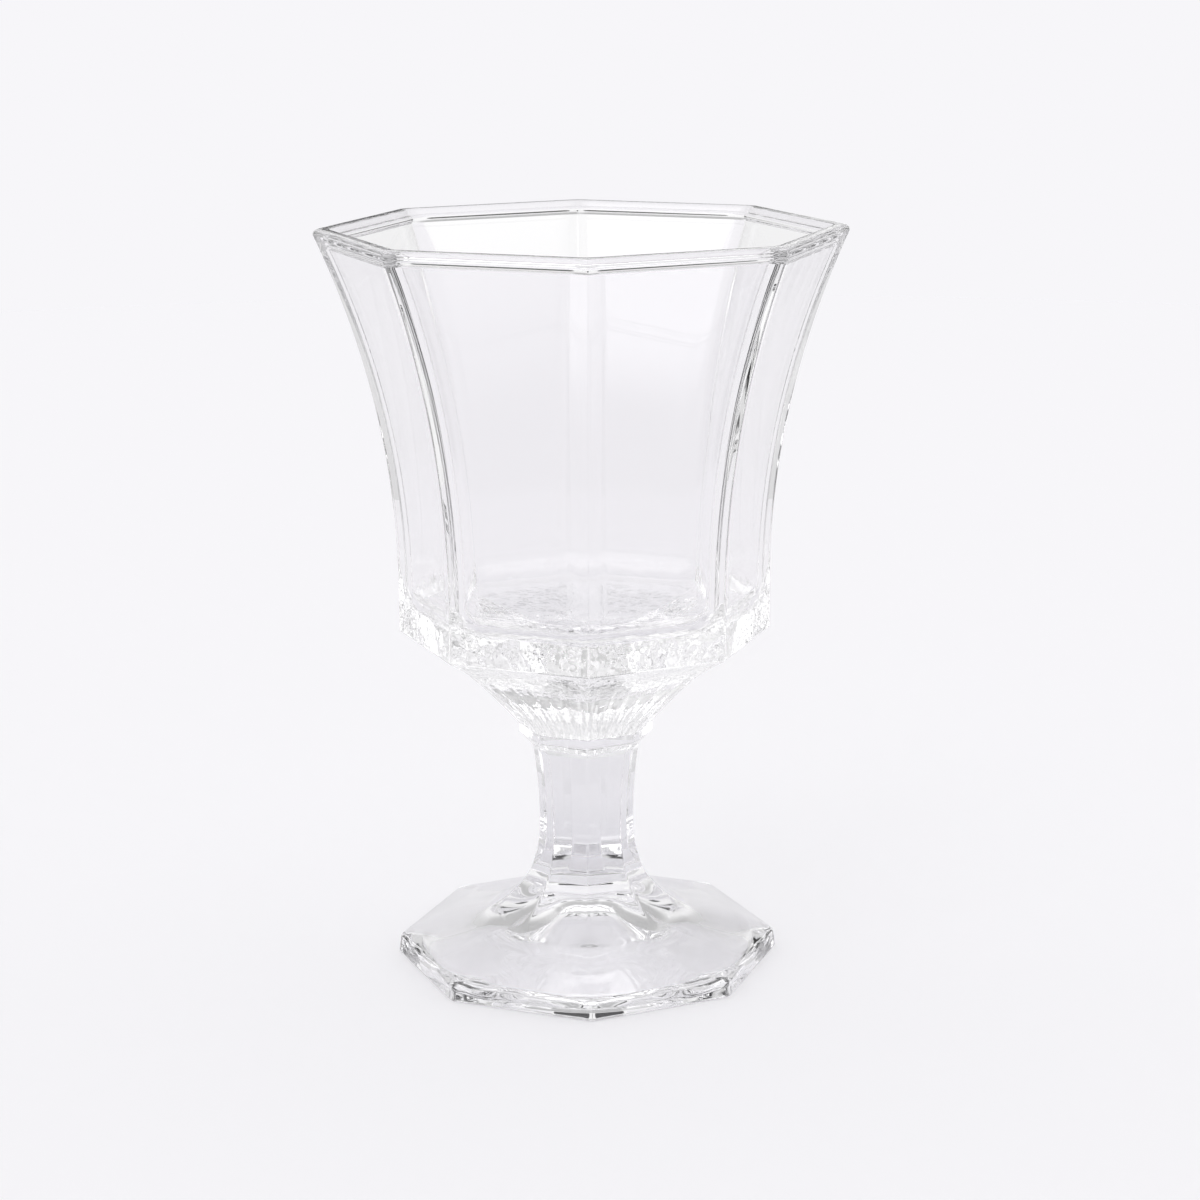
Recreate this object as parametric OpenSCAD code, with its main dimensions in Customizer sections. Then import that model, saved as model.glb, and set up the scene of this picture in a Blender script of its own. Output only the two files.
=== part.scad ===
// Water goblet of clear pressed glass, eight-sided in plan from rim to foot.
// Frame: Z up, origin at the centre of the resting face, one corner of the octagon towards -Y.
// Every piece is an intersection of upright slabs, one for each pair of opposite faces. A slab
// has the profile of its two faces, so the corners come out as true mitres at every height.

/* [Bowl] */
// Height of the bowl from the collar to the rim
bowl_h = 100.8; // [85:0.1:125]
// Width across flats at the rim
rim_w = 97; // [86:0.5:110]
// Width across flats at the straight band low on the bowl
band_w = 69.3; // [60:0.1:80]
// Height of the straight band above the bowl's sharp lower edge
band_h = 10.6; // [6:0.1:20]
// Thickness of the glass at the rim, in to the foot of the bevel
rim_wall = 4; // [3.4:0.1:5]
// Rounding of the rim's outer edge
rim_r = 1; // [0.5:0.1:1.2]
// Height of the bevel inside the rim
bevel_h = 1.9; // [1.4:0.1:2.2]
// Width of the bevel inside the rim
bevel_w = 1.2; // [1:0.1:1.6]
// Rounding between the bevel and the top of the rim
bevel_r = 0.6; // [0.2:0.1:0.8]
// Radius of the fine bead along the foot of the bevel
bead_r = 0.35; // [0.2:0.05:0.5]
// Thickness of the wall at the band
band_wall = 4.3; // [3:0.1:8]
// Thickness of the glass between the lower edge and the floor of the cavity
floor_t = 4.2; // [2:0.1:10]
// Radius between the floor and the walls of the cavity
floor_fillet = 4; // [2:0.5:6]

/* [Funnel under the bowl] */
// Height of the funnel from the collar to the bowl's lower edge
funnel_h = 19.7; // [14:0.1:28]
// Radius of the funnel's hollow curve
funnel_r = 80; // [50:1:200]
// Flutes side by side on each face of the funnel
flutes = 6; // [3:1:6]
// Depth of a flute where it starts at the collar
flute_depth = 0.36; // [0.1:0.02:0.4]
// Radius of a flute's section
flute_r = 1.3; // [1:0.1:1.6]
// Plain run of the funnel above the flutes, up to the bowl's lower edge
flute_margin = 6; // [4:0.5:10]

/* [Collar] */
// Height of the collar
collar_h = 4.6; // [3:0.1:8]
// Width across flats of the collar
collar_w = 25.2; // [22:0.1:32]
// Height of the upright band on the collar, above its chamfer
collar_band_h = 1.8; // [0.8:0.1:2.8]
// Rounding between the collar's band and its chamfer
collar_r = 1; // [0.4:0.1:1.5]

/* [Stem] */
// Height of the stem from the foot to the collar
stem_h = 26.7; // [15:0.1:60]
// Width across flats at the top of the stem
stem_top_w = 20.1; // [18.5:0.1:22]
// Width across flats at the waist
waist_w = 17.8; // [14:0.1:18]
// Width across flats at the bottom of the stem
stem_bottom_w = 21.4; // [18.5:0.1:24]
// Height of the waist above the foot
waist_h = 10.1; // [6:0.1:14]

/* [Foot] */
// Height of the foot from the table to the stem
foot_h = 17.9; // [14:0.1:24]
// Width across flats of the foot
foot_w = 72.8; // [70:0.1:90]
// Height of the foot's outer edge
edge_h = 4; // [3:0.1:6]
// Lean of the outer edge, from its bottom to its top
edge_lean = 0.5; // [0:0.1:1.5]
// Rounding at the top of the outer edge
edge_r = 1.4; // [0.6:0.1:2]
// Rounding at the bottom of the outer edge
toe_r = 0.6; // [0.2:0.1:1]
// Rounding of the foot's corners in plan
foot_corner_r = 4; // [1:0.5:8]
// Slope of the foot's top faces, in degrees
plate_slope = 17.2; // [12:0.1:20]
// Radius of the curve that sweeps from the foot up to the stem
flare_r = 18; // [16:0.5:22]
// Radius of the hollow under the foot, where it leaves the table
hollow_r = 33; // [30:0.5:34]
// Height of the hollow under the foot, in the middle
hollow_h = 8.8; // [8.5:0.1:10]
// Slope of the hollow's outer part, in degrees
dish_slope = 10.9; // [8:0.1:11]
// Radius of the hollow's round top
cap_r = 12; // [10:0.5:14]
// Radius of the curve between the sloping part and the round top
blend_r = 25; // [15:1:30]

/* [Hidden] */
$fn = 360;

sides = 8;
face_turn = 360 / sides;
// How far a profile reaches over the axis, and a cutter past the surface that it cuts
past = 1;
// Turn by which a flute's cutter runs on past both of its ends, in degrees
flute_past = 3;
// Steps round a flute's section
flute_fn = 48;

// Heights of the seams and edges above the table
stem_z = foot_h;
waist_z = stem_z + waist_h;
collar_z = stem_z + stem_h;
bowl_z = collar_z + collar_h;
lip_z = bowl_z + funnel_h;
flare_z = lip_z + band_h;
rim_z = bowl_z + bowl_h;
floor_z = lip_z + floor_t;

// Half widths of the band outside and inside
band_a = band_w / 2;
cavity_a = band_a - band_wall;

// Centre of the rim's outer rounding, and the two ends of the bevel inside the rim
rim_c = [rim_w / 2 - rim_r, rim_z - rim_r];
bevel_foot = [rim_w / 2 - rim_wall, rim_z - bevel_h];
bevel_top = [bevel_foot[0] + bevel_w, rim_z];

// Ends of the funnel's faces, and the centre of their hollow curve
funnel_tip = [collar_w / 2, bowl_z];
funnel_lip = [band_a, lip_z];
funnel_c = arc_centre(funnel_tip, funnel_lip, funnel_r);

glass_tint = [0.86, 0.90, 0.93, 0.55];

function unit(v) = v / norm(v);

// Radius of the arc that leaves a straight line at a tangent, runs h along it and stands off by d
function bow_radius(h, d) = (h * h + d * d) / (2 * d);

// Radius of the arc that leaves the upright line x = a at height z at a tangent and bows out to
// touch a circle of radius r round c, with the circle on its hollow side
function touching_radius(a, z, c, r) =
    let (out = c[0] - a, up = c[1] - z)
    (out * out + up * up - r * r) / (2 * (out + r));

// Centre of the arc of radius r from p to q, on the right hand of a walk from p to q
function arc_centre(p, q, r) =
    let (along = q - p, half = norm(along) / 2)
    (p + q) / 2 + sqrt(r * r - half * half) * [along[1], -along[0]] / norm(along);

// Distance from a corner to where its rounding starts, for edges that leave it along u and v
function rounding_reach(u, v, r) = r * norm(u + v) / norm(u - v);

// Centre of that rounding
function rounding_centre(p, u, v, r) = p + 2 * r / norm(u - v) * unit(u + v);

// How far along a line from p an arc of radius r leaves it at a tangent, on the side of normal, if
// the arc's centre stands at a distance reach from q
function touch_run(p, along, normal, r, q, reach) =
    let (away = p + r * normal - q, lean = away * along)
    -lean - sqrt(lean * lean - away * away + reach * reach);

// Centre of the circle through three points
function circle_centre(p, q, s) =
    let (u = q - p, v = s - p, d = 2 * (u[0] * v[1] - u[1] * v[0]))
    p + [v[1] * (u * u) - u[1] * (v * v), u[0] * (v * v) - v[0] * (u * u)] / d;

// Angle of the direction from c to p
function bearing(c, p) = atan2(p[1] - c[1], p[0] - c[0]);

// Eight-sided solid: each pair of opposite faces has the upright profile that is the child,
// drawn for one side and just over the axis, with X outwards and Y up
module octagonal(reach) {
    intersection_for (pair = [0 : sides / 2 - 1])
        rotate([0, 0, face_turn * (pair + 0.5)])
            rotate([90, 0, 0])
                linear_extrude(2 * reach, center = true) {
                    children();
                    mirror([1, 0]) children();
                }
}

// Rectangle from the axis to x = a, between two heights
module core(a, z0, z1) {
    translate([-past, z0]) square([a + past, z1 - z0]);
}

// Outer faces of the bowl above its lower edge, up to the rounded rim
module bowl_wall_profile() {
    bow_r = touching_radius(band_a, flare_z, rim_c, rim_r);
    bow_c = [band_a + bow_r, flare_z];
    touch = rim_c + rim_r * unit(bow_c - rim_c);
    core(band_a, lip_z, flare_z);
    difference() {
        union() {
            polygon([[-past, flare_z], [touch[0], flare_z], touch, rim_c,
                     [rim_c[0], rim_z], [-past, rim_z]]);
            translate(rim_c) circle(rim_r);
        }
        translate(bow_c) circle(bow_r);
    }
}

// Faces of the funnel under the bowl
module funnel_profile() {
    difference() {
        polygon([[-past, bowl_z], funnel_tip, funnel_lip, [-past, lip_z]]);
        translate(funnel_c) circle(funnel_r);
    }
}

// Cutter for one flute, in the upright plane that stands turn degrees off the middle of a face.
// It is deepest at the collar and runs out of the face below the plain margin.
module flute(turn) {
    tip_angle = bearing(funnel_c, funnel_tip);
    end_angle = bearing(funnel_c, funnel_lip) + flute_margin / funnel_r * 180 / PI;
    function on_face(angle, deep) =
        let (p = funnel_c + (funnel_r + deep) * [cos(angle), sin(angle)]) [p[0] / cos(turn), p[1]];
    start = on_face(tip_angle, flute_depth);
    middle = on_face((tip_angle + end_angle) / 2, flute_depth / 2);
    end = on_face(end_angle, 0);
    path_c = circle_centre(start, middle, end);
    from = bearing(path_c, end) - flute_past;
    to = bearing(path_c, start) + flute_past;
    rotate([0, 0, turn]) translate([path_c[0], 0, path_c[1]]) rotate([90, 0, 0]) rotate([0, 0, from])
        rotate_extrude(angle = to - from)
            translate([norm(middle - path_c) - flute_r, 0]) circle(flute_r, $fn = flute_fn);
}

// Walls of the drinking cavity, from its rounded floor to the bevel and the bead inside the rim
module cavity_profile() {
    bow_r = bow_radius(bevel_foot[1] - flare_z, bevel_foot[0] - cavity_a);
    fillet_z = floor_z + floor_fillet;
    flat_out = [1, 0];
    down = unit(bevel_foot - bevel_top);
    reach = rounding_reach(flat_out, down, bevel_r);
    core(cavity_a - floor_fillet, floor_z, fillet_z);
    intersection() {
        translate([cavity_a - floor_fillet, fillet_z]) circle(floor_fillet);
        core(cavity_a, floor_z, fillet_z);
    }
    core(cavity_a, fillet_z, flare_z);
    difference() {
        polygon([[-past, flare_z], [bevel_foot[0], flare_z], bevel_foot, bevel_top + reach * down,
                 bevel_top + reach * flat_out, bevel_top + reach * flat_out + [0, past],
                 [-past, rim_z + past]]);
        intersection() {
            translate([cavity_a + bow_r, flare_z]) circle(bow_r);
            translate([cavity_a, flare_z]) square([bevel_foot[0] - cavity_a, bevel_foot[1] - flare_z]);
        }
        translate(bevel_foot) circle(bead_r);
        translate(rounding_centre(bevel_top, flat_out, down, bevel_r)) circle(bevel_r);
    }
}

module bowl() {
    color(glass_tint) difference() {
        union() {
            octagonal(rim_w) bowl_wall_profile();
            octagonal(rim_w) funnel_profile();
        }
        octagonal(rim_w) cavity_profile();
        for (face = [0 : sides - 1], i = [0 : flutes - 1])
            rotate([0, 0, face_turn * (face + 0.5)])
                flute(atan(tan(face_turn / 2) * ((2 * i + 1) / flutes - 1)));
    }
}

// Faces of the collar: an upright band, a rounded edge and a chamfer down to the stem
module collar_profile() {
    edge = [collar_w / 2, bowl_z - collar_band_h];
    foot_edge = [stem_top_w / 2, collar_z];
    up = [0, 1];
    down = unit(foot_edge - edge);
    reach = rounding_reach(up, down, collar_r);
    polygon([[-past, collar_z], foot_edge, edge + reach * down, edge + reach * up,
             [edge[0], bowl_z], [-past, bowl_z]]);
    translate(rounding_centre(edge, up, down, collar_r)) circle(collar_r);
}

module collar() {
    color(glass_tint) octagonal(collar_w) collar_profile();
}

// Faces of the stem: two hollow curves that meet at the waist
module stem_profile() {
    waist_a = waist_w / 2;
    upper_r = bow_radius(collar_z - waist_z, stem_top_w / 2 - waist_a);
    lower_r = bow_radius(waist_h, stem_bottom_w / 2 - waist_a);
    difference() {
        core(stem_top_w / 2, waist_z, collar_z);
        translate([waist_a + upper_r, waist_z]) circle(upper_r);
    }
    difference() {
        core(stem_bottom_w / 2, stem_z, waist_z);
        translate([waist_a + lower_r, waist_z]) circle(lower_r);
    }
}

module stem() {
    color(glass_tint) octagonal(collar_w) stem_profile();
}

// Faces of the foot: a rounded edge, a sloping top and a hollow curve up to the stem
module foot_profile() {
    toe = [foot_w / 2, 0];
    shoulder = [foot_w / 2 - edge_lean, edge_h];
    seam = [stem_bottom_w / 2, foot_h];
    inward = [-cos(plate_slope), sin(plate_slope)];
    upward = [sin(plate_slope), cos(plate_slope)];
    down = unit(toe - shoulder);
    flat_in = [-1, 0];
    edge_reach = rounding_reach(inward, down, edge_r);
    toe_reach = rounding_reach(flat_in, -down, toe_r);
    // The curve touches the sloping top and ends at the seam
    touch = shoulder + touch_run(shoulder, inward, upward, flare_r, seam, flare_r) * inward;
    difference() {
        polygon([[-past, 0], toe + toe_reach * flat_in, toe - toe_reach * down,
                 shoulder + edge_reach * down, shoulder + edge_reach * inward,
                 touch, seam, [-past, foot_h]]);
        translate(touch + flare_r * upward) circle(flare_r);
    }
    translate(rounding_centre(shoulder, inward, down, edge_r)) circle(edge_r);
    translate(rounding_centre(toe, flat_in, -down, toe_r)) circle(toe_r);
}

// Hollow under the foot: a sloping dish, a blend and a round top
module hollow_profile() {
    rim = [hollow_r, 0];
    inward = [-cos(dish_slope), sin(dish_slope)];
    upward = [sin(dish_slope), cos(dish_slope)];
    cap_c = [0, hollow_h - cap_r];
    dish_end = rim + touch_run(rim, inward, upward, blend_r, cap_c, cap_r + blend_r) * inward;
    blend_c = dish_end + blend_r * upward;
    cap_end = cap_c + cap_r * unit(blend_c - cap_c);
    difference() {
        polygon([[0, -past], [hollow_r, -past], rim, dish_end, cap_end, [0, cap_end[1]]]);
        translate(blend_c) circle(blend_r);
    }
    intersection() {
        translate(cap_c) circle(cap_r);
        translate([0, cap_end[1]]) square([cap_end[0], cap_r]);
    }
}

module foot() {
    // Rounded corners in plan: how much of each sharp corner is taken off
    sharp_r = foot_w / 2 / cos(face_turn / 2);
    trim = foot_corner_r / cos(face_turn / 2) - foot_corner_r;
    color(glass_tint) difference() {
        intersection() {
            octagonal(foot_w) foot_profile();
            cylinder(h = foot_h, r = sharp_r - trim);
        }
        rotate_extrude() hollow_profile();
    }
}

bowl();
collar();
stem();
foot();
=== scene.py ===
"""Water goblet of clear pressed glass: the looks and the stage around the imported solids.

The goblet is octagonal in plan from rim to foot. Each piece is a loft: an upright outline gives the
stations, and each station is a ring with eight flat faces and rounded corners. The pieces are fused
on the real glass, so the faces where they meet are see-through and light crosses them unbent.
"""

import math

import bpy
import numpy as np
from mathutils import Matrix, Vector


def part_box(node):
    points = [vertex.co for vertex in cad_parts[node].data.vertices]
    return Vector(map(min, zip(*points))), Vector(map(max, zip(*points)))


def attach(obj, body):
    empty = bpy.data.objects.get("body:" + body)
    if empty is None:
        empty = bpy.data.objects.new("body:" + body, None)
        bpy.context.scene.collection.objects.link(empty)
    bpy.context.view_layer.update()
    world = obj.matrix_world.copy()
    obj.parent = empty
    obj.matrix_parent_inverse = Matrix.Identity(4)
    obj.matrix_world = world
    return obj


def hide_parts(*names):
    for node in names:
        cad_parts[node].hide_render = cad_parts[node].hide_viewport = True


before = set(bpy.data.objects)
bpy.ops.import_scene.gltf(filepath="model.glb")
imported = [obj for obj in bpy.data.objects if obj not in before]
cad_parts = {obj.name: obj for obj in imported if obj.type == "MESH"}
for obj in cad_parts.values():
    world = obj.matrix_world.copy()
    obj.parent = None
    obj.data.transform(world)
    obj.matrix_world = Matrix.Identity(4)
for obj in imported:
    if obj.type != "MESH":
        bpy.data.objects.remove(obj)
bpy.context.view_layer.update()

bl_info = {
    "name": "Pressed Glass Goblet",
    "version": (1, 0, 0),
    "blender": (4, 5, 0),
    "location": "View3D > Sidebar > Goblet",
    "description": "Builds an octagonal water goblet of pressed glass and its studio stage",
    "category": "Add Mesh",
}

MM = 0.001

# Octagon in plan: corners on the X and Y axes and between them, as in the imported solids
SIDES = 8
FACE_TURN = 2 * math.pi / SIDES
HALF_TURN = FACE_TURN / 2
FACE_STEPS = 60
CORNER_STEPS = 6

# Steps along each run of the upright outlines
STEPS = {
    "funnel": 40, "lip": 4, "band": 4, "wall": 26,
    "rim": 10, "rim_top": 2, "crest": 4, "bevel": 4, "bead": 6,
    "cavity": 26, "cavity_band": 2, "floor_bend": 10, "floor": 10,
    "chamfer": 6, "collar_edge": 8, "collar_band": 3,
    "stem_low": 20, "stem_high": 24,
    "cap": 20, "blend": 20, "dish": 10, "rest": 8,
    "toe": 6, "foot_side": 4, "foot_edge": 8, "plate": 10, "flare": 24,
}
# Upwards in an upright outline
UP = np.array([0.0, 1.0])

# Half width of a loft's last ring by the axis, inside which a flat fan closes it
AXIS_HOLE = 0.2 * MM
# Most that a ring's corners are rounded, as a share of its half width: 1 is a circle
FLOOR_ROUNDEST = 0.9
HOLLOW_ROUNDEST = 0.999
# Edges that turn by more than this stay sharp
SHARP_ANGLE = math.radians(25)
# Points closer than this are one point of an outline, in metres
SAME_POINT = 1e-7

# Mould waves on the glass: waves to the metre, and their height
POLISHED_WAVES = (45.0, 0.02 * MM)
PRESSED_WAVES = (90.0, 0.03 * MM)
# Detail of the noise behind the waves and of the one behind the grain
NOISE_DETAIL = {"Wave size": 1.0, "Grain size": 2.0}
# Height on which the grain fades in, down from its top
GRAIN_FADE = 5 * MM
# What a face of the glass lets through of a lamp's light
SHADOW_TINT = (0.97, 0.97, 0.97, 1)


def seam_heights():
    """Heights of the three seams and of the rim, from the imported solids."""
    return {
        "stem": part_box("stem")[0].z,
        "collar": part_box("collar")[0].z,
        "bowl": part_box("bowl")[0].z,
        "rim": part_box("bowl")[1].z,
    }


SEAM = seam_heights()
RIM_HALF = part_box("bowl")[1].x * math.cos(HALF_TURN)
COLLAR_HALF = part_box("collar")[1].x * math.cos(HALF_TURN)


def length(name, description, default):
    """A length property, in metres."""
    return bpy.props.FloatProperty(
        name=name, description=description, default=default, unit="LENGTH", precision=5
    )


def angle(name, description, degrees):
    """An angle property, with its default in degrees."""
    return bpy.props.FloatProperty(
        name=name, description=description, default=math.radians(degrees), subtype="ANGLE"
    )


def number(name, description, default):
    """A property that is a plain number."""
    return bpy.props.FloatProperty(name=name, description=description, default=default)


def colour(name, description, rgb):
    """A colour property."""
    return bpy.props.FloatVectorProperty(
        name=name, description=description, subtype="COLOR",
        size=4, default=(*rgb, 1), min=0, max=1,
    )


class GobletShape(bpy.types.PropertyGroup):
    """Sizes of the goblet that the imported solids' boxes don't give."""

    band_half: length("Band half width", "From the axis to a face, low on the bowl", 34.65 * MM)
    lip_rise: length("Lip height", "From the collar to the bowl's sharp lower edge", 19.7 * MM)
    band_rise: length("Band height", "Straight part of the wall above the lower edge", 10.6 * MM)
    lip_round: length("Lip rounding", "Radius of the bowl's lower edge", 0.5 * MM)
    funnel_bow: length("Funnel curve", "Radius of the hollow curve under the bowl", 80 * MM)
    rim_wall: length("Rim wall", "Thickness of the wall at the rim", 4.0 * MM)
    rim_round: length("Rim rounding", "Rounding of the rim's outer edge", 1.0 * MM)
    bevel_rise: length("Bevel height", "Height of the bevel inside the rim", 1.9 * MM)
    bevel_run: length("Bevel width", "Width of the bevel inside the rim", 1.2 * MM)
    bevel_round: length("Bevel rounding", "Rounding between the bevel and the rim's top", 0.6 * MM)
    bead: length("Bead", "Radius of the fine bead along the foot of the bevel", 0.9 * MM)
    band_wall: length("Band wall", "Thickness of the wall low on the bowl", 4.3 * MM)
    floor_rise: length("Floor height", "From the lower edge to the floor of the cavity", 4.2 * MM)
    floor_round: length("Floor rounding", "Radius between the floor and the walls", 6 * MM)
    floor_dish: length("Floor dish", "Drop of the floor from its edge to its middle", 0.5 * MM)
    outer_corner: length("Outer corner", "Rounding of the bowl's corners outside", 1.0 * MM)
    inner_corner: length("Inner corner", "Rounding of the bowl's corners inside", 8.0 * MM)
    flutes: bpy.props.IntProperty(
        name="Flutes", description="Flutes on each face of the funnel", default=6, min=1
    )
    flute_depth: length("Flute depth", "Depth of a flute where it starts at the collar", 0.36 * MM)
    flute_bow: length("Flute curve", "Radius of a flute's hollow", 1.3 * MM)
    flute_margin: length("Flute margin", "Plain part of the funnel below the lower edge", 6 * MM)

    collar_band: length("Collar band", "Upright band of the collar above its chamfer", 1.8 * MM)
    collar_round: length("Collar rounding", "Radius between the band and the chamfer", 1.0 * MM)
    stem_top_half: length("Stem top half width", "Axis to face under the collar", 10.05 * MM)
    waist_half: length("Waist half width", "Axis to face at the stem's waist", 8.9 * MM)
    stem_foot_half: length("Stem bottom half width", "Axis to face at the foot", 10.7 * MM)
    waist_rise: length("Waist height", "From the foot's seam to the waist", 10.1 * MM)
    stem_corner: length("Stem corner", "Rounding of the stem's corners", 0.8 * MM)

    foot_half: length("Foot half width", "Axis to face at the foot's edge", 36.4 * MM)
    edge_rise: length("Edge height", "Height of the foot's outer edge", 4.0 * MM)
    edge_lean: length("Edge lean", "Lean of the outer edge from bottom to top", 0.5 * MM)
    edge_round: length("Edge rounding", "Radius at the top of the outer edge", 1.4 * MM)
    toe_round: length("Toe rounding", "Radius at the bottom of the outer edge", 0.6 * MM)
    foot_corner: length("Foot corner", "Rounding of the foot's corners in plan", 3.0 * MM)
    plate_corner: length("Plate corner", "Rounding of the corners between the plates", 20 * MM)
    ridge_half: length("Ridge half width", "Axis to face where the flare's ridges end", 20.5 * MM)
    ridge_fade: length("Ridge fade", "Length on which the ridges run out", 10 * MM)
    corner_fade: length("Corner fade", "Width by the edge on which the corners sharpen", 6 * MM)
    plate_slope: angle("Plate slope", "Slope of the foot's top faces", 17.2)
    flare_bow: length("Flare curve", "Radius of the curve from the foot up to the stem", 18 * MM)
    hollow_half: length("Hollow radius", "Radius of the dish under the foot", 33 * MM)
    hollow_rise: length("Hollow height", "Height of the hollow at the axis", 8.8 * MM)
    dish_slope: angle("Dish slope", "Slope of the outer part of the dish", 10.9)
    cap_bow: length("Cap curve", "Radius of the dome in the middle of the dish", 12 * MM)
    blend_bow: length("Blend curve", "Radius of the curve from the dish to the dome", 25 * MM)


class GobletGlass(bpy.types.PropertyGroup):
    """Finish of the glass."""

    tint: colour("Tint", "Colour that the glass lets through", (0.987, 0.984, 0.991))
    # Painted shade: a darker copy of the glass's own tint, which paints the grey shade of the solid
    # collar and stem
    shaded_solid_tint: colour(
        "Solid tint", "Colour that the solid collar and stem let through", (0.892, 0.889, 0.908)
    )
    ior: number("IOR", "Refractive index of soda-lime glass", 1.52)
    grain: number("Grain", "Height of the grain on the funnel, in heights of the waves", 20.0)
    grain_rise: length("Grain rise", "Reach of the grain above the bowl's lower edge", 10 * MM)
    grain_size: number("Grain size", "Grains to the metre on the funnel", 220.0)


class GobletStage(bpy.types.PropertyGroup):
    """Camera, floor and light."""

    distance: length("Camera distance", "From the goblet's axis, along the floor", 534.7 * MM)
    height: length("Camera height", "Above the floor", 209.7 * MM)
    pitch: angle("Pitch", "Angle that the camera looks down", 14.16)
    yaw: angle("Yaw", "Angle that the camera looks right of the goblet's axis", 0.33)
    roll: angle("Roll", "Tilt of the camera", -0.38)
    turn: angle("Turn", "Turn of the goblet in front of the camera", 1.055)
    lens: number("Lens", "Focal length in millimetres", 82.0)
    backdrop: colour("Backdrop", "Pale colour of floor and backdrop", (0.930, 0.922, 0.947))
    key_strength: number("Key strength", "Strength of the soft key light", 1.2)
    fill: number("Fill", "Level of the even light from all sides", 0.7)
    table: colour("Table", "Colour of the table top that the glass shows", (0.885, 0.875, 0.90))
    # Painted shade: the table top is darker under and round the foot, in place of the goblet's
    # shade on it
    table_painted_shade: colour("Table near", "The same under and round the foot", (0.83, 0.822, 0.852))
    floor_radius: length("Floor radius", "Radius of the pale table top", 1000 * MM)


def unit(v):
    """Vector of length 1 in the same direction."""
    return v / np.linalg.norm(v)


def line(p, q, steps):
    """Points from p to q, both ends included."""
    t = np.linspace(0, 1, steps + 1)[:, None]
    return np.asarray(p) * (1 - t) + np.asarray(q) * t


def arc(centre, start, end, steps):
    """Points on a circle round centre, the short way from start to end, both ends included."""
    a, b = np.asarray(start) - centre, np.asarray(end) - centre
    first = math.atan2(a[1], a[0])
    sweep = math.atan2(b[1], b[0]) - first
    sweep = (sweep + math.pi) % (2 * math.pi) - math.pi
    angles = first + sweep * np.linspace(0, 1, steps + 1)
    radius = np.linalg.norm(a)
    return np.asarray(centre) + radius * np.stack([np.cos(angles), np.sin(angles)], 1)


def arc_centre(p, q, radius):
    """Centre of the arc from p to q, on the right hand of a walk from p to q."""
    along = q - p
    half = np.linalg.norm(along) / 2
    side = np.array([along[1], -along[0]]) / (2 * half)
    return (p + q) / 2 + math.sqrt(radius**2 - half**2) * side


def bow_radius(rise, stand_off):
    """Radius of an arc that leaves a line at a tangent and stands off from it after rise."""
    return (rise**2 + stand_off**2) / (2 * stand_off)


def touching_radius(half, z, centre, radius):
    """Radius of the arc that leaves the upright line at half and z and touches a circle."""
    out, up = centre[0] - half, centre[1] - z
    return (out**2 + up**2 - radius**2) / (2 * (out + radius))


def touch_run(start, along, normal, radius, point, reach):
    """Run along a line to where a circle touches it.

    The circle has the radius given, and its centre lies at reach from point.
    """
    away = start + radius * normal - point
    lean = away @ along
    return -lean - math.sqrt(lean**2 - away @ away + reach**2)


def up_slope(slope):
    """Directions of a slope that rises towards the axis: along it, and square to it."""
    run, rise = math.cos(slope), math.sin(slope)
    return np.array([-run, rise]), np.array([rise, run])


def rounded(corner, u, v, radius, steps):
    """Points of a rounded corner, from the edge that leaves it along u to the one along v."""
    reach = radius * np.linalg.norm(u + v) / np.linalg.norm(u - v)
    centre = corner + 2 * radius / np.linalg.norm(u - v) * unit(u + v)
    return arc(centre, corner + reach * u, corner + reach * v, steps)


def join(*runs):
    """One outline from several runs of points, without doubled points where they meet."""
    points = [runs[0][0]]
    for run in runs:
        for p in run:
            if np.linalg.norm(p - points[-1]) > SAME_POINT:
                points.append(p)
    return np.array(points)


def plan_ring():
    """Plan of the octagon, for each point of a ring: its corner's and its face's directions.

    A ring point is a corner circle's centre plus the corner radius along a direction, and points
    on a flat face slide from one corner to the next.
    """
    rows = []
    for k in range(SIDES):
        here, after = k * FACE_TURN, (k + 1) * FACE_TURN
        for i in range(CORNER_STEPS + 1):
            rows.append((here, here, here - HALF_TURN + FACE_TURN * i / CORNER_STEPS, 0.0))
        for i in range(1, FACE_STEPS):
            rows.append((here, after, here + HALF_TURN, i / FACE_STEPS))
    return np.array(rows)


PLAN = plan_ring()
NO_SINK = np.zeros((len(PLAN), 3))


def ring(half, z, corner):
    """Points of one ring: half is from the axis to a face, corner the rounding in plan."""
    reach = (half - corner) / math.cos(HALF_TURN)
    first, second, out, slide = PLAN.T
    x = reach * ((1 - slide) * np.cos(first) + slide * np.cos(second)) + corner * np.cos(out)
    y = reach * ((1 - slide) * np.sin(first) + slide * np.sin(second)) + corner * np.sin(out)
    return np.stack([x, y, np.full_like(x, z)], 1)


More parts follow.
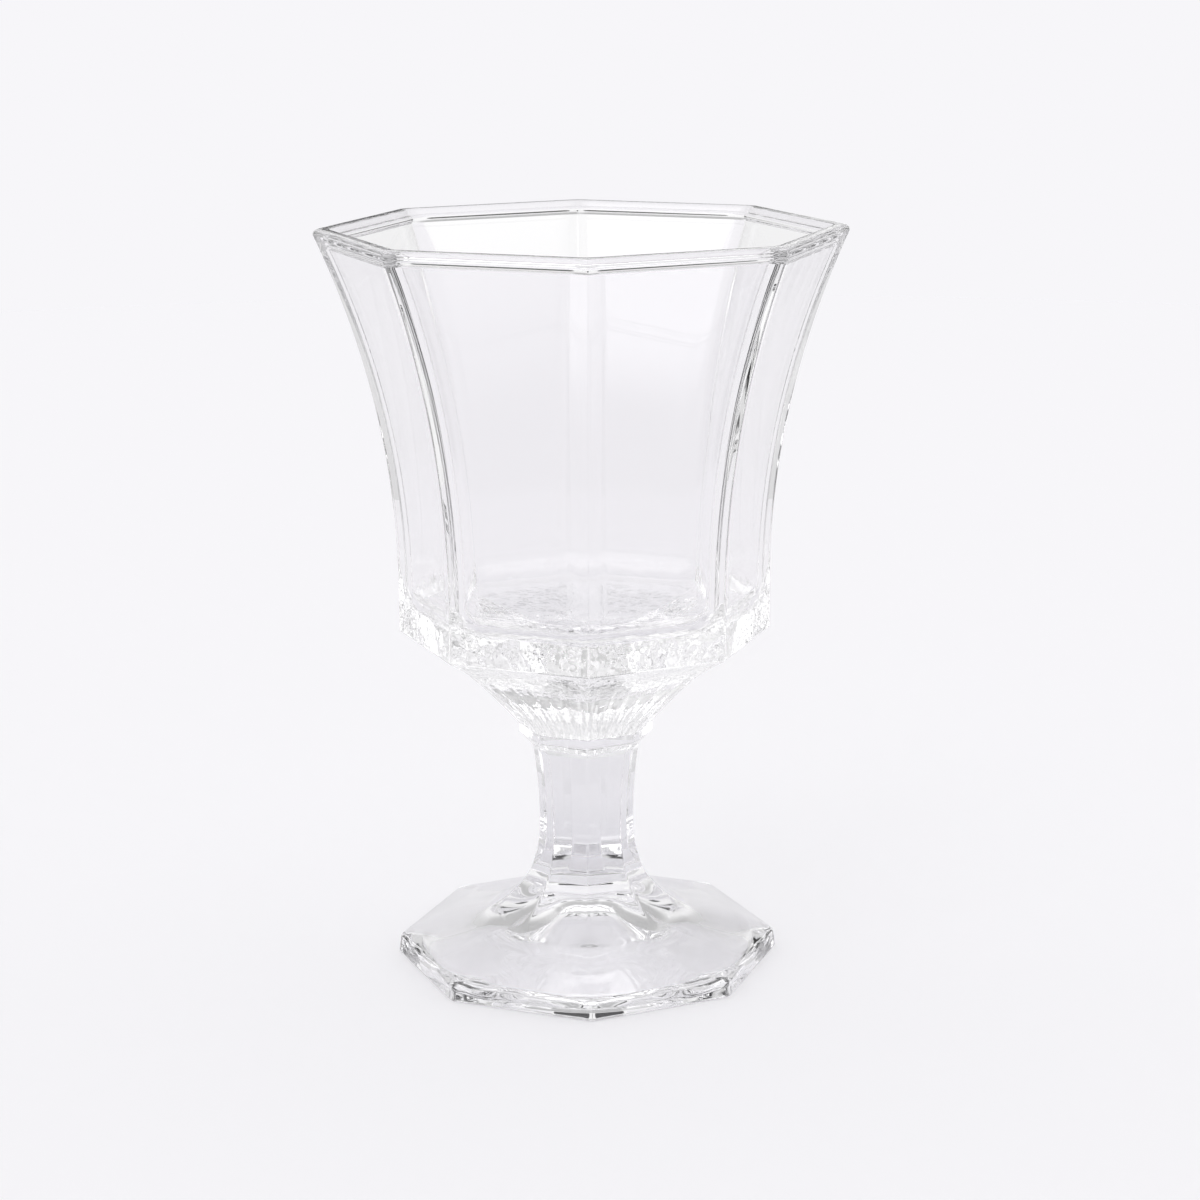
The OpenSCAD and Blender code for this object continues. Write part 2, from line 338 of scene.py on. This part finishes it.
def loft(name, outline, corners, weld_start, weld_end, sink=None):
    """A closed mesh of rings along an outline of (half width, height) points.

    corners gives each ring's rounding in plan. The ends are closed by flat fans, and a welded end
    takes the see-through weld material. sink moves each ring's points into the glass.
    """
    rings = [ring(h, z, c) for (h, z), c in zip(outline, corners)]
    if sink is not None:
        rings = [r - s for r, s in zip(rings, sink)]
    points = np.concatenate(rings)
    faces, kinds = [], []
    n = len(PLAN)
    for i in range(len(rings) - 1):
        for j in range(n):
            k = (j + 1) % n
            faces.append((i * n + j, i * n + k, (i + 1) * n + k, (i + 1) * n + j))
            kinds.append(0)
    middle = [(0, 0, outline[0][1]), (0, 0, outline[-1][1])]
    points = np.concatenate([points, middle])
    last = (len(rings) - 1) * n
    for j in range(n):
        k = (j + 1) % n
        faces.append((len(points) - 2, k, j))
        faces.append((len(points) - 1, last + j, last + k))
        kinds += [int(weld_start), int(weld_end)]
    mesh = bpy.data.meshes.new(name)
    mesh.from_pydata(points.tolist(), [], faces)
    mesh.polygons.foreach_set("material_index", kinds)
    mesh.polygons.foreach_set("use_smooth", [True] * len(faces))
    mesh.set_sharp_from_angle(angle=SHARP_ANGLE)
    mesh.validate()
    piece = bpy.data.objects.new(name, mesh)
    bpy.context.scene.collection.objects.link(piece)
    return piece


def dress(piece, node, glass):
    """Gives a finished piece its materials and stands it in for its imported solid."""
    piece.data.materials.append(glass)
    piece.data.materials.append(weld_material())
    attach(piece, "root")
    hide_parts(node)


def funnel_outline(shape):
    """Faces of the funnel, from the collar out to the bowl's lower edge."""
    tip = np.array([COLLAR_HALF, SEAM["bowl"]])
    lip = np.array([shape.band_half, SEAM["bowl"] + shape.lip_rise])
    centre = arc_centre(tip, lip, shape.funnel_bow)
    return arc(centre, tip, lip, STEPS["funnel"])


def bowl_outline(shape):
    """Outline of the bowl: funnel, lower edge, wall, rim, cavity and floor."""
    lip_z = SEAM["bowl"] + shape.lip_rise
    flare_z = lip_z + shape.band_rise
    lip = np.array([shape.band_half, lip_z])
    funnel = funnel_outline(shape)
    inward = unit(funnel[-2] - funnel[-1])
    edge = rounded(lip, inward, UP, shape.lip_round, STEPS["lip"])
    funnel = funnel[np.linalg.norm(funnel - lip, axis=1) > shape.lip_round]

    rim_r = shape.rim_round
    rim = np.array([RIM_HALF - rim_r, SEAM["rim"] - rim_r])
    outer_r = touching_radius(shape.band_half, flare_z, rim, rim_r)
    outer_c = np.array([shape.band_half + outer_r, flare_z])
    outer_touch = rim + rim_r * unit(outer_c - rim)

    cavity_half = shape.band_half - shape.band_wall
    bevel = np.array([RIM_HALF - shape.rim_wall, SEAM["rim"] - shape.bevel_rise])
    crest = np.array([bevel[0] + shape.bevel_run, SEAM["rim"]])
    inner_r = bow_radius(bevel[1] - flare_z, bevel[0] - cavity_half)
    inner_c = np.array([cavity_half + inner_r, flare_z])
    wall_down = -unit(np.array([bevel[1] - inner_c[1], inner_c[0] - bevel[0]]))
    outward = np.array([1.0, 0.0])
    crest_edge = rounded(crest, outward, unit(bevel - crest), shape.bevel_round, STEPS["crest"])
    bevel_up = unit(crest - bevel)
    bead_top = bevel + shape.bead * bevel_up
    bead_in = bevel + shape.bead * np.array([-bevel_up[1], bevel_up[0]])
    bead_end = bevel + shape.bead * wall_down

    floor_z = lip_z + shape.floor_rise
    bend = np.array([cavity_half - shape.floor_round, floor_z + shape.floor_round])
    floor_edge = bend - np.array([0, shape.floor_round])
    floor_r = bow_radius(floor_edge[0], shape.floor_dish)
    middle = np.array([AXIS_HOLE, floor_z - shape.floor_dish])
    return {
        "funnel": funnel,
        "lip": edge,
        "wall": join(
            line(edge[-1], (shape.band_half, flare_z), STEPS["band"]),
            arc(outer_c, (shape.band_half, flare_z), outer_touch, STEPS["wall"]),
        ),
        "rim": join(
            arc(rim, outer_touch, rim + rim_r * UP, STEPS["rim"]),
            line(rim + rim_r * UP, crest_edge[0], STEPS["rim_top"]),
            crest_edge,
            line(crest_edge[-1], bead_top, STEPS["bevel"]),
            arc(bevel, bead_top, bead_in, STEPS["bead"]),
            arc(bevel, bead_in, bead_end, STEPS["bead"]),
        ),
        "cavity": join(
            arc(inner_c, bead_end, (cavity_half, flare_z), STEPS["cavity"]),
            line((cavity_half, flare_z), (cavity_half, bend[1]), STEPS["cavity_band"]),
        ),
        "floor": join(
            arc(bend, (cavity_half, bend[1]), floor_edge, STEPS["floor_bend"]),
            arc(np.array([0, middle[1] + floor_r]), floor_edge, middle, STEPS["floor"]),
        ),
    }


def flute_sink(shape, funnel):
    """How far each point of the funnel's rings moves in towards the axis, for the flutes.

    A flute is a round hollow that starts at the collar and runs out up the funnel, so it gets
    narrower as it gets shallower. The flutes share the width of a face evenly.
    """
    run = np.linalg.norm(np.diff(funnel, axis=0), axis=1).cumsum()
    run = np.concatenate([[0], run])
    deep = shape.flute_depth * np.clip(1 - run / (run[-1] - shape.flute_margin), 0, 1)
    tangent = np.gradient(funnel, axis=0)
    steepness = tangent[:, 1] / np.linalg.norm(tangent, axis=1)
    out = PLAN[:, 2]
    sinks = []
    for (half, z), depth, steep in zip(funnel, deep, steepness):
        points = ring(half, z, shape.outer_corner)
        face = np.floor(np.arctan2(points[:, 1], points[:, 0]) / FACE_TURN) * FACE_TURN + HALF_TURN
        across = points[:, 1] * np.cos(face) - points[:, 0] * np.sin(face)
        pitch = 2 * half * math.tan(HALF_TURN) / shape.flutes
        place = across / pitch + shape.flutes / 2
        aside = np.minimum(np.abs(place - np.floor(place) - 0.5) * pitch, shape.flute_bow)
        cut = depth - shape.flute_bow + np.sqrt(shape.flute_bow**2 - aside**2)
        inward = np.maximum(cut, 0) / steep
        sinks.append(np.stack([inward * np.cos(out), inward * np.sin(out), np.zeros_like(out)], 1))
    return sinks


def foot_outline(shape):
    """Outline of the foot: hollow, resting ring, outer side, and the top up to the stem."""
    toe = np.array([shape.foot_half, 0.0])
    shoulder = np.array([shape.foot_half - shape.edge_lean, shape.edge_rise])
    seam = np.array([shape.stem_foot_half, SEAM["stem"]])
    inward, upward = up_slope(shape.plate_slope)
    down = unit(toe - shoulder)
    run = touch_run(shoulder, inward, upward, shape.flare_bow, seam, shape.flare_bow)
    touch = shoulder + run * inward
    edge = rounded(shoulder, inward, down, shape.edge_round, STEPS["foot_edge"])
    tip = rounded(toe, -down, np.array([-1.0, 0.0]), shape.toe_round, STEPS["toe"])

    hollow = np.array([shape.hollow_half, 0.0])
    cap_c = np.array([0, shape.hollow_rise - shape.cap_bow])
    dish_in, dish_up = up_slope(shape.dish_slope)
    reach = shape.cap_bow + shape.blend_bow
    dish_run = touch_run(hollow, dish_in, dish_up, shape.blend_bow, cap_c, reach)
    dish_end = hollow + dish_run * dish_in
    blend_c = dish_end + shape.blend_bow * dish_up
    cap_end = cap_c + shape.cap_bow * unit(blend_c - cap_c)
    cap_start = np.array([AXIS_HOLE, cap_c[1] + math.sqrt(shape.cap_bow**2 - AXIS_HOLE**2)])
    return {
        "hollow": join(
            arc(cap_c, cap_start, cap_end, STEPS["cap"]),
            arc(blend_c, cap_end, dish_end, STEPS["blend"]),
            line(dish_end, hollow, STEPS["dish"]),
        ),
        "rest": line(hollow, tip[-1], STEPS["rest"]),
        "side": join(tip[::-1], line(tip[0], edge[-1], STEPS["foot_side"]), edge[::-1]),
        "top": join(
            line(edge[0], touch, STEPS["plate"]),
            arc(touch + shape.flare_bow * upward, touch, seam, STEPS["flare"]),
        ),
    }


def foot_corners(shape, runs, outline):
    """Rounding in plan of each of the foot's rings."""
    reach = outline[:, 0]
    place = np.arange(len(outline))
    seam, shoulder = shape.stem_foot_half, shape.foot_half - shape.edge_lean
    spread = np.clip((reach - seam) / (shoulder - seam), 0, 1)
    corners = shape.stem_corner + (shape.foot_corner - shape.stem_corner) * spread
    # The flare's ridges run out on the plates, which get their corners back near the edge
    smooth = np.clip((reach - shape.ridge_half) / shape.ridge_fade + 0.5, 0, 1)
    smooth = np.minimum(smooth, np.clip((shoulder - reach) / shape.corner_fade, 0, 1))
    smooth = smooth**2 * (3 - 2 * smooth)
    above = place >= len(outline) - len(runs["top"])
    corners = np.where(above, corners + (shape.plate_corner - corners) * smooth, corners)
    # Round in the hollow, then more and more eight-sided out to the foot's edge
    inside = np.clip((shape.foot_half - reach) / (shape.foot_half - shape.hollow_half), 0, 1)
    under = place < len(runs["hollow"]) + len(runs["rest"]) - 2
    corners = np.where(under, corners + (reach - corners) * inside, corners)
    return np.minimum(corners, reach * HOLLOW_ROUNDEST)


def pressed_surface():
    """Node group of the faint waves that a mould leaves on glass, with a grain below a height."""
    name = "pressed_surface"
    if name in bpy.data.node_groups:
        return bpy.data.node_groups[name]
    group = bpy.data.node_groups.new(name, "ShaderNodeTree")
    for socket in ("Wave size", "Grain size", "Grain", "Grain top"):
        group.interface.new_socket(socket, in_out="INPUT", socket_type="NodeSocketFloat")
    group.interface.new_socket("Height", in_out="OUTPUT", socket_type="NodeSocketFloat")
    nodes, links = group.nodes, group.links
    inputs, outputs = nodes.new("NodeGroupInput"), nodes.new("NodeGroupOutput")
    place = nodes.new("ShaderNodeTexCoord")
    noises = {}
    for size, detail in NOISE_DETAIL.items():
        noise = nodes.new("ShaderNodeTexNoise")
        noise.inputs["Detail"].default_value = detail
        links.new(place.outputs["Object"], noise.inputs["Vector"])
        links.new(inputs.outputs[size], noise.inputs["Scale"])
        noises[size] = noise.outputs["Fac"]
    axes = nodes.new("ShaderNodeSeparateXYZ")
    links.new(place.outputs["Object"], axes.inputs["Vector"])
    drop = nodes.new("ShaderNodeMath")
    drop.operation = "SUBTRACT"
    links.new(inputs.outputs["Grain top"], drop.inputs[0])
    links.new(axes.outputs["Z"], drop.inputs[1])
    below = nodes.new("ShaderNodeMapRange")
    below.inputs["From Max"].default_value = GRAIN_FADE
    links.new(drop.outputs["Value"], below.inputs["Value"])
    share = nodes.new("ShaderNodeMath")
    share.operation = "MULTIPLY"
    links.new(inputs.outputs["Grain"], share.inputs[0])
    links.new(below.outputs["Result"], share.inputs[1])
    height = nodes.new("ShaderNodeMath")
    height.operation = "MULTIPLY_ADD"
    links.new(noises["Grain size"], height.inputs[0])
    links.new(share.outputs["Value"], height.inputs[1])
    links.new(noises["Wave size"], height.inputs[2])
    links.new(height.outputs["Value"], outputs.inputs["Height"])
    return group


def glass_material(name, tint, mould_waves, grain=0.0, grain_size=0.0, grain_top=0.0):
    """Clear glass with faint mould waves. Lamps reach through it, so its shadow stays light."""
    if name in bpy.data.materials:
        return bpy.data.materials[name]
    wave_size, wave_height = mould_waves
    material = bpy.data.materials.new(name)
    material.use_nodes = True
    nodes, links = material.node_tree.nodes, material.node_tree.links
    surface = nodes["Principled BSDF"]
    surface.inputs["Base Color"].default_value = tint
    surface.inputs["Roughness"].default_value = 0.0
    surface.inputs["IOR"].default_value = bpy.context.scene.goblet_glass.ior
    surface.inputs["Transmission Weight"].default_value = 1.0
    waves = nodes.new("ShaderNodeGroup")
    waves.node_tree = pressed_surface()
    waves.inputs["Wave size"].default_value = wave_size
    waves.inputs["Grain size"].default_value = grain_size
    waves.inputs["Grain"].default_value = grain
    waves.inputs["Grain top"].default_value = grain_top
    bump = nodes.new("ShaderNodeBump")
    bump.inputs["Strength"].default_value = 1.0
    bump.inputs["Distance"].default_value = wave_height
    links.new(waves.outputs["Height"], bump.inputs["Height"])
    links.new(bump.outputs["Normal"], surface.inputs["Normal"])
    clear = nodes.new("ShaderNodeBsdfTransparent")
    clear.inputs["Color"].default_value = SHADOW_TINT
    path = nodes.new("ShaderNodeLightPath")
    mix = nodes.new("ShaderNodeMixShader")
    links.new(path.outputs["Is Shadow Ray"], mix.inputs["Fac"])
    links.new(surface.outputs["BSDF"], mix.inputs[1])
    links.new(clear.outputs["BSDF"], mix.inputs[2])
    links.new(mix.outputs["Shader"], nodes["Material Output"].inputs["Surface"])
    return material


def solid_glass(finish):
    """Glass of the collar and the stem, which are solid: the glass's own tint, made darker to paint
    the grey shade that these pieces show.
    """
    return glass_material("solid_glass", finish.shaded_solid_tint, PRESSED_WAVES)


def weld_material():
    """See-through faces where two fused pieces meet."""
    name = "fused_seam"
    if name in bpy.data.materials:
        return bpy.data.materials[name]
    material = bpy.data.materials.new(name)
    material.use_nodes = True
    surface = material.node_tree.nodes["Principled BSDF"]
    surface.inputs["Alpha"].default_value = 0.0
    return material


class GOBLET_OT_bowl(bpy.types.Operator):
    """Flared octagonal bowl with a bevelled rim, thick floor and fluted funnel"""

    bl_idname = "goblet.bowl"
    bl_label = "Bowl"

    def execute(self, context):
        shape, finish = context.scene.goblet_shape, context.scene.goblet_glass
        runs = bowl_outline(shape)
        outline = join(*runs.values())
        funnel_count = len(runs["funnel"])
        outer_count = funnel_count + len(runs["lip"]) + len(runs["wall"])
        rim_count = len(runs["rim"])
        step = np.clip((np.arange(len(outline)) - outer_count) / rim_count, 0, 1)
        corners = shape.outer_corner + (shape.inner_corner - shape.outer_corner) * step
        corners = np.minimum(corners, outline[:, 0] * FLOOR_ROUNDEST)
        sinks = flute_sink(shape, runs["funnel"])
        sinks += [NO_SINK] * (len(outline) - funnel_count)
        piece = loft("bowl_glass", outline, corners, True, False, sinks)
        glass = glass_material(
            "fire_polished_glass", finish.tint, POLISHED_WAVES,
            finish.grain, finish.grain_size, SEAM["bowl"] + shape.lip_rise + finish.grain_rise,
        )
        dress(piece, "bowl", glass)
        return {"FINISHED"}


class GOBLET_OT_collar(bpy.types.Operator):
    """Octagonal collar with a chamfer down to the stem"""

    bl_idname = "goblet.collar"
    bl_label = "Collar"

    def execute(self, context):
        shape, finish = context.scene.goblet_shape, context.scene.goblet_glass
        bottom = np.array([shape.stem_top_half, SEAM["collar"]])
        corner = np.array([COLLAR_HALF, SEAM["bowl"] - shape.collar_band])
        top = np.array([COLLAR_HALF, SEAM["bowl"]])
        edge = rounded(
            corner, unit(bottom - corner), UP, shape.collar_round, STEPS["collar_edge"]
        )
        outline = join(
            line(bottom, edge[0], STEPS["chamfer"]),
            edge,
            line(edge[-1], top, STEPS["collar_band"]),
        )
        corners = np.linspace(shape.stem_corner, shape.outer_corner, len(outline))
        # A ledge on top, from the collar's edge in to where the flutes start
        sinks = [NO_SINK] * len(outline)
        sinks.append(flute_sink(shape, bowl_outline(shape)["funnel"])[0])
        outline = np.concatenate([outline, [top]])
        corners = np.append(corners, shape.outer_corner)
        piece = loft("collar_glass", outline, corners, True, True, sinks)
        dress(piece, "collar", solid_glass(finish))
        return {"FINISHED"}


class GOBLET_OT_stem(bpy.types.Operator):
    """Short octagonal stem with a waist"""

    bl_idname = "goblet.stem"
    bl_label = "Stem"

    def execute(self, context):
        shape, finish = context.scene.goblet_shape, context.scene.goblet_glass
        waist = np.array([shape.waist_half, SEAM["stem"] + shape.waist_rise])
        bottom = np.array([shape.stem_foot_half, SEAM["stem"]])
        top = np.array([shape.stem_top_half, SEAM["collar"]])
        low_r = bow_radius(waist[1] - bottom[1], bottom[0] - waist[0])
        high_r = bow_radius(top[1] - waist[1], top[0] - waist[0])
        outline = join(
            arc(waist + np.array([low_r, 0]), bottom, waist, STEPS["stem_low"]),
            arc(waist + np.array([high_r, 0]), waist, top, STEPS["stem_high"]),
        )
        corners = np.full(len(outline), shape.stem_corner)
        piece = loft("stem_glass", outline, corners, True, True)
        dress(piece, "stem", solid_glass(finish))
        return {"FINISHED"}


class GOBLET_OT_foot(bpy.types.Operator):
    """Octagonal foot with a rounded edge, a sloping top and a hollow underneath"""

    bl_idname = "goblet.foot"
    bl_label = "Foot"

    def execute(self, context):
        shape, finish = context.scene.goblet_shape, context.scene.goblet_glass
        runs = foot_outline(shape)
        outline = join(*runs.values())
        piece = loft("foot_glass", outline, foot_corners(shape, runs, outline), False, True)
        dress(piece, "foot", glass_material("pressed_glass", finish.tint, PRESSED_WAVES))
        return {"FINISHED"}


# Bounces of light through the walls of the glass, and of mirrored light inside them
GLASS_BOUNCES, GLOSS_BOUNCES = 32, 16
# How far the floor lies under the foot, and the sides of its round edge
FLOOR_DROP, FLOOR_SIDES = 0.1 * MM, 96
# Painted shade on the table round the foot: where it ends at full strength and where it has faded
# out to the table's own colour, from the axis
PAINTED_SHADE_REACH, PAINTED_SHADE_FADE_END = 50 * MM, 150 * MM
# Where the key light stands, seen from the goblet, and how wide it looks
KEY_PLACE = (-50, -60, 100)
KEY_SPREAD = math.radians(30)
# Width of the camera's sensor in millimetres, and the range of its view in metres
SENSOR_WIDTH = 36.0
CLIP_NEAR, CLIP_FAR = 0.01, 100.0
# Studio that the glass shows: azimuth and elevation of a card, radius of its even part and of its
# edge, all in degrees, and its level
STUDIO_CARDS = {
    "front light": (180, 50, 30, 60, 1.9),
    "left front softbox": (-135, 40, 22, 34, 2.2),
    "ceiling": (0, 90, 15, 30, 0.85),
    "camera": (180, 0, 14, 26, 0.25),
    "backdrop": (0, 0, 26, 42, 0.95),
    "upper backdrop": (15, 42, 16, 34, 0.50),
    "right flag": (67, 4, 7, 15, 0.03),
    "left flag": (-67, 4, 7, 15, 0.03),
    "back flag": (0, 5, 4, 6.5, 0.05),
}
# Level between the cards
STUDIO_LEVEL = 0.68


class GOBLET_OT_stage(bpy.types.Operator):
    """Pale floor, studio light and the camera at the photograph's angle"""

    bl_idname = "goblet.stage"
    bl_label = "Stage"

    def execute(self, context):
        scene = context.scene
        stage = scene.goblet_stage
        make_floor(stage)
        make_world(stage)
        make_key(stage)
        make_camera(stage)
        scene.view_settings.view_transform = "Standard"
        scene.cycles.max_bounces = GLASS_BOUNCES
        scene.cycles.transmission_bounces = GLASS_BOUNCES
        scene.cycles.transparent_max_bounces = GLASS_BOUNCES
        scene.cycles.glossy_bounces = GLOSS_BOUNCES
        return {"FINISHED"}


def make_floor(stage):
    """Round pale table top just under the foot, with painted shade that darkens it under and round
    the foot where the glass shows it. Beyond it the backdrop has the same colour.
    """
    radius = stage.floor_radius
    turns = [2 * math.pi * i / FLOOR_SIDES for i in range(FLOOR_SIDES)]
    edge = [(radius * math.cos(a), radius * math.sin(a), -FLOOR_DROP) for a in turns]
    mesh = bpy.data.meshes.new("floor")
    mesh.from_pydata(edge, [], [tuple(range(FLOOR_SIDES))])
    floor = bpy.data.objects.new("floor", mesh)
    bpy.context.scene.collection.objects.link(floor)
    material = bpy.data.materials.new("pale_floor")
    material.use_nodes = True
    nodes, links = material.node_tree.nodes, material.node_tree.links
    surface = nodes["Principled BSDF"]
    surface.inputs["Roughness"].default_value = 1.0
    surface.inputs["Specular IOR Level"].default_value = 0.0
    place = nodes.new("ShaderNodeTexCoord")
    reach = nodes.new("ShaderNodeVectorMath")
    reach.operation = "LENGTH"
    links.new(place.outputs["Object"], reach.inputs[0])
    # Painted shade: the table colour darkens from the far table colour to the painted shade colour
    # towards the foot
    away = nodes.new("ShaderNodeMapRange")
    away.interpolation_type = "SMOOTHSTEP"
    away.inputs["From Min"].default_value = PAINTED_SHADE_REACH
    away.inputs["From Max"].default_value = PAINTED_SHADE_FADE_END
    links.new(reach.outputs["Value"], away.inputs["Value"])
    table = nodes.new("ShaderNodeMix")
    table.data_type = "RGBA"
    table.inputs["A"].default_value = stage.table_painted_shade
    table.inputs["B"].default_value = stage.table
    links.new(away.outputs["Result"], table.inputs["Factor"])
    path = nodes.new("ShaderNodeLightPath")
    shown = nodes.new("ShaderNodeMix")
    shown.data_type = "RGBA"
    shown.inputs["B"].default_value = stage.backdrop
    links.new(table.outputs["Result"], shown.inputs["A"])
    links.new(path.outputs["Is Camera Ray"], shown.inputs["Factor"])
    links.new(shown.outputs["Result"], surface.inputs["Base Color"])
    mesh.materials.append(material)


def direction(azimuth, elevation):
    """Unit vector, with azimuth in degrees from +Y towards +X."""
    a, e = math.radians(azimuth), math.radians(elevation)
    return Vector((math.sin(a) * math.cos(e), math.cos(a) * math.cos(e), math.sin(e)))


def make_world(stage):
    """Even light for what is lit, the backdrop for the camera, and a studio for the glass."""
    world = bpy.data.worlds.new("studio")
    bpy.context.scene.world = world
    world.use_nodes = True
    nodes, links = world.node_tree.nodes, world.node_tree.links
    place = nodes.new("ShaderNodeTexCoord")
    level = None
    for name, (azimuth, elevation, core, edge, card) in STUDIO_CARDS.items():
        facing = nodes.new("ShaderNodeVectorMath")
        facing.operation = "DOT_PRODUCT"
        facing.label = name
        facing.inputs[1].default_value = direction(azimuth, elevation)
        links.new(place.outputs["Generated"], facing.inputs[0])
        mask = nodes.new("ShaderNodeMapRange")
        mask.interpolation_type = "SMOOTHSTEP"
        mask.inputs["From Min"].default_value = math.cos(math.radians(edge))
        mask.inputs["From Max"].default_value = math.cos(math.radians(core))
        links.new(facing.outputs["Value"], mask.inputs["Value"])
        mix = nodes.new("ShaderNodeMix")
        mix.inputs["A"].default_value = STUDIO_LEVEL
        mix.inputs["B"].default_value = card
        links.new(mask.outputs["Result"], mix.inputs["Factor"])
        if level is not None:
            links.new(level, mix.inputs["A"])
        level = mix.outputs["Result"]
    path = nodes.new("ShaderNodeLightPath")
    glass_ray = nodes.new("ShaderNodeMath")
    glass_ray.operation = "MAXIMUM"
    links.new(path.outputs["Is Glossy Ray"], glass_ray.inputs[0])
    links.new(path.outputs["Is Transmission Ray"], glass_ray.inputs[1])
    seen = nodes.new("ShaderNodeMix")
    seen.data_type = "RGBA"
    seen.inputs["A"].default_value = (stage.fill, stage.fill, stage.fill, 1)
    links.new(glass_ray.outputs["Value"], seen.inputs["Factor"])
    links.new(level, seen.inputs["B"])
    shown = nodes.new("ShaderNodeMix")
    shown.data_type = "RGBA"
    shown.inputs["B"].default_value = stage.backdrop
    links.new(path.outputs["Is Camera Ray"], shown.inputs["Factor"])
    links.new(seen.outputs["Result"], shown.inputs["A"])
    links.new(shown.outputs["Result"], nodes["Background"].inputs["Color"])


def make_key(stage):
    """Soft key light from the left, in front of the goblet, for the shadow on the floor."""
    lamp = bpy.data.lights.new("key", "SUN")
    lamp.energy = stage.key_strength
    lamp.angle = KEY_SPREAD
    key = bpy.data.objects.new("key", lamp)
    key.rotation_euler = Vector(KEY_PLACE).to_track_quat("Z", "Y").to_euler()
    key.visible_glossy = False
    key.visible_transmission = False
    bpy.context.scene.collection.objects.link(key)


def make_camera(stage):
    """Camera at the photograph's viewing angle."""
    data = bpy.data.cameras.new("camera")
    data.lens = stage.lens
    data.sensor_width = SENSOR_WIDTH
    data.clip_start, data.clip_end = CLIP_NEAR, CLIP_FAR
    camera = bpy.data.objects.new("camera", data)
    bpy.context.scene.collection.objects.link(camera)
    stand = Matrix.Translation((0, -stage.distance, stage.height))
    place = Matrix.Rotation(-stage.turn, 4, "Z") @ stand
    look = Matrix.Rotation(-stage.yaw, 4, "Z") @ Matrix.Rotation(math.pi / 2 - stage.pitch, 4, "X")
    camera.matrix_world = place @ look @ Matrix.Rotation(stage.roll, 4, "Z")
    bpy.context.scene.camera = camera


class GOBLET_PT_panel(bpy.types.Panel):
    """The goblet's sizes and the buttons that build it"""

    bl_label = "Pressed Glass Goblet"
    bl_space_type = "VIEW_3D"
    bl_region_type = "UI"
    bl_category = "Goblet"

    def draw(self, context):
        layout = self.layout
        for group in GROUPS:
            holder = getattr(context.scene, group)
            for name in holder.__annotations__:
                layout.prop(holder, name)
        for operator in OPERATORS:
            layout.operator(operator.bl_idname)


GROUPS = {"goblet_shape": GobletShape, "goblet_glass": GobletGlass, "goblet_stage": GobletStage}
OPERATORS = (GOBLET_OT_bowl, GOBLET_OT_collar, GOBLET_OT_stem, GOBLET_OT_foot, GOBLET_OT_stage)
CLASSES = (*GROUPS.values(), *OPERATORS, GOBLET_PT_panel)


def register():
    """Registers the classes and puts the property groups on the scene."""
    for cls in CLASSES:
        bpy.utils.register_class(cls)
    for name, cls in GROUPS.items():
        setattr(bpy.types.Scene, name, bpy.props.PointerProperty(type=cls))


def unregister():
    """Takes the property groups off the scene and unregisters the classes."""
    for name in GROUPS:
        delattr(bpy.types.Scene, name)
    for cls in reversed(CLASSES):
        bpy.utils.unregister_class(cls)


def main():
    """Builds the pieces and the stage."""
    register()
    bpy.ops.goblet.bowl()
    bpy.ops.goblet.collar()
    bpy.ops.goblet.stem()
    bpy.ops.goblet.foot()
    bpy.ops.goblet.stage()


if __name__ == "__main__":
    main()
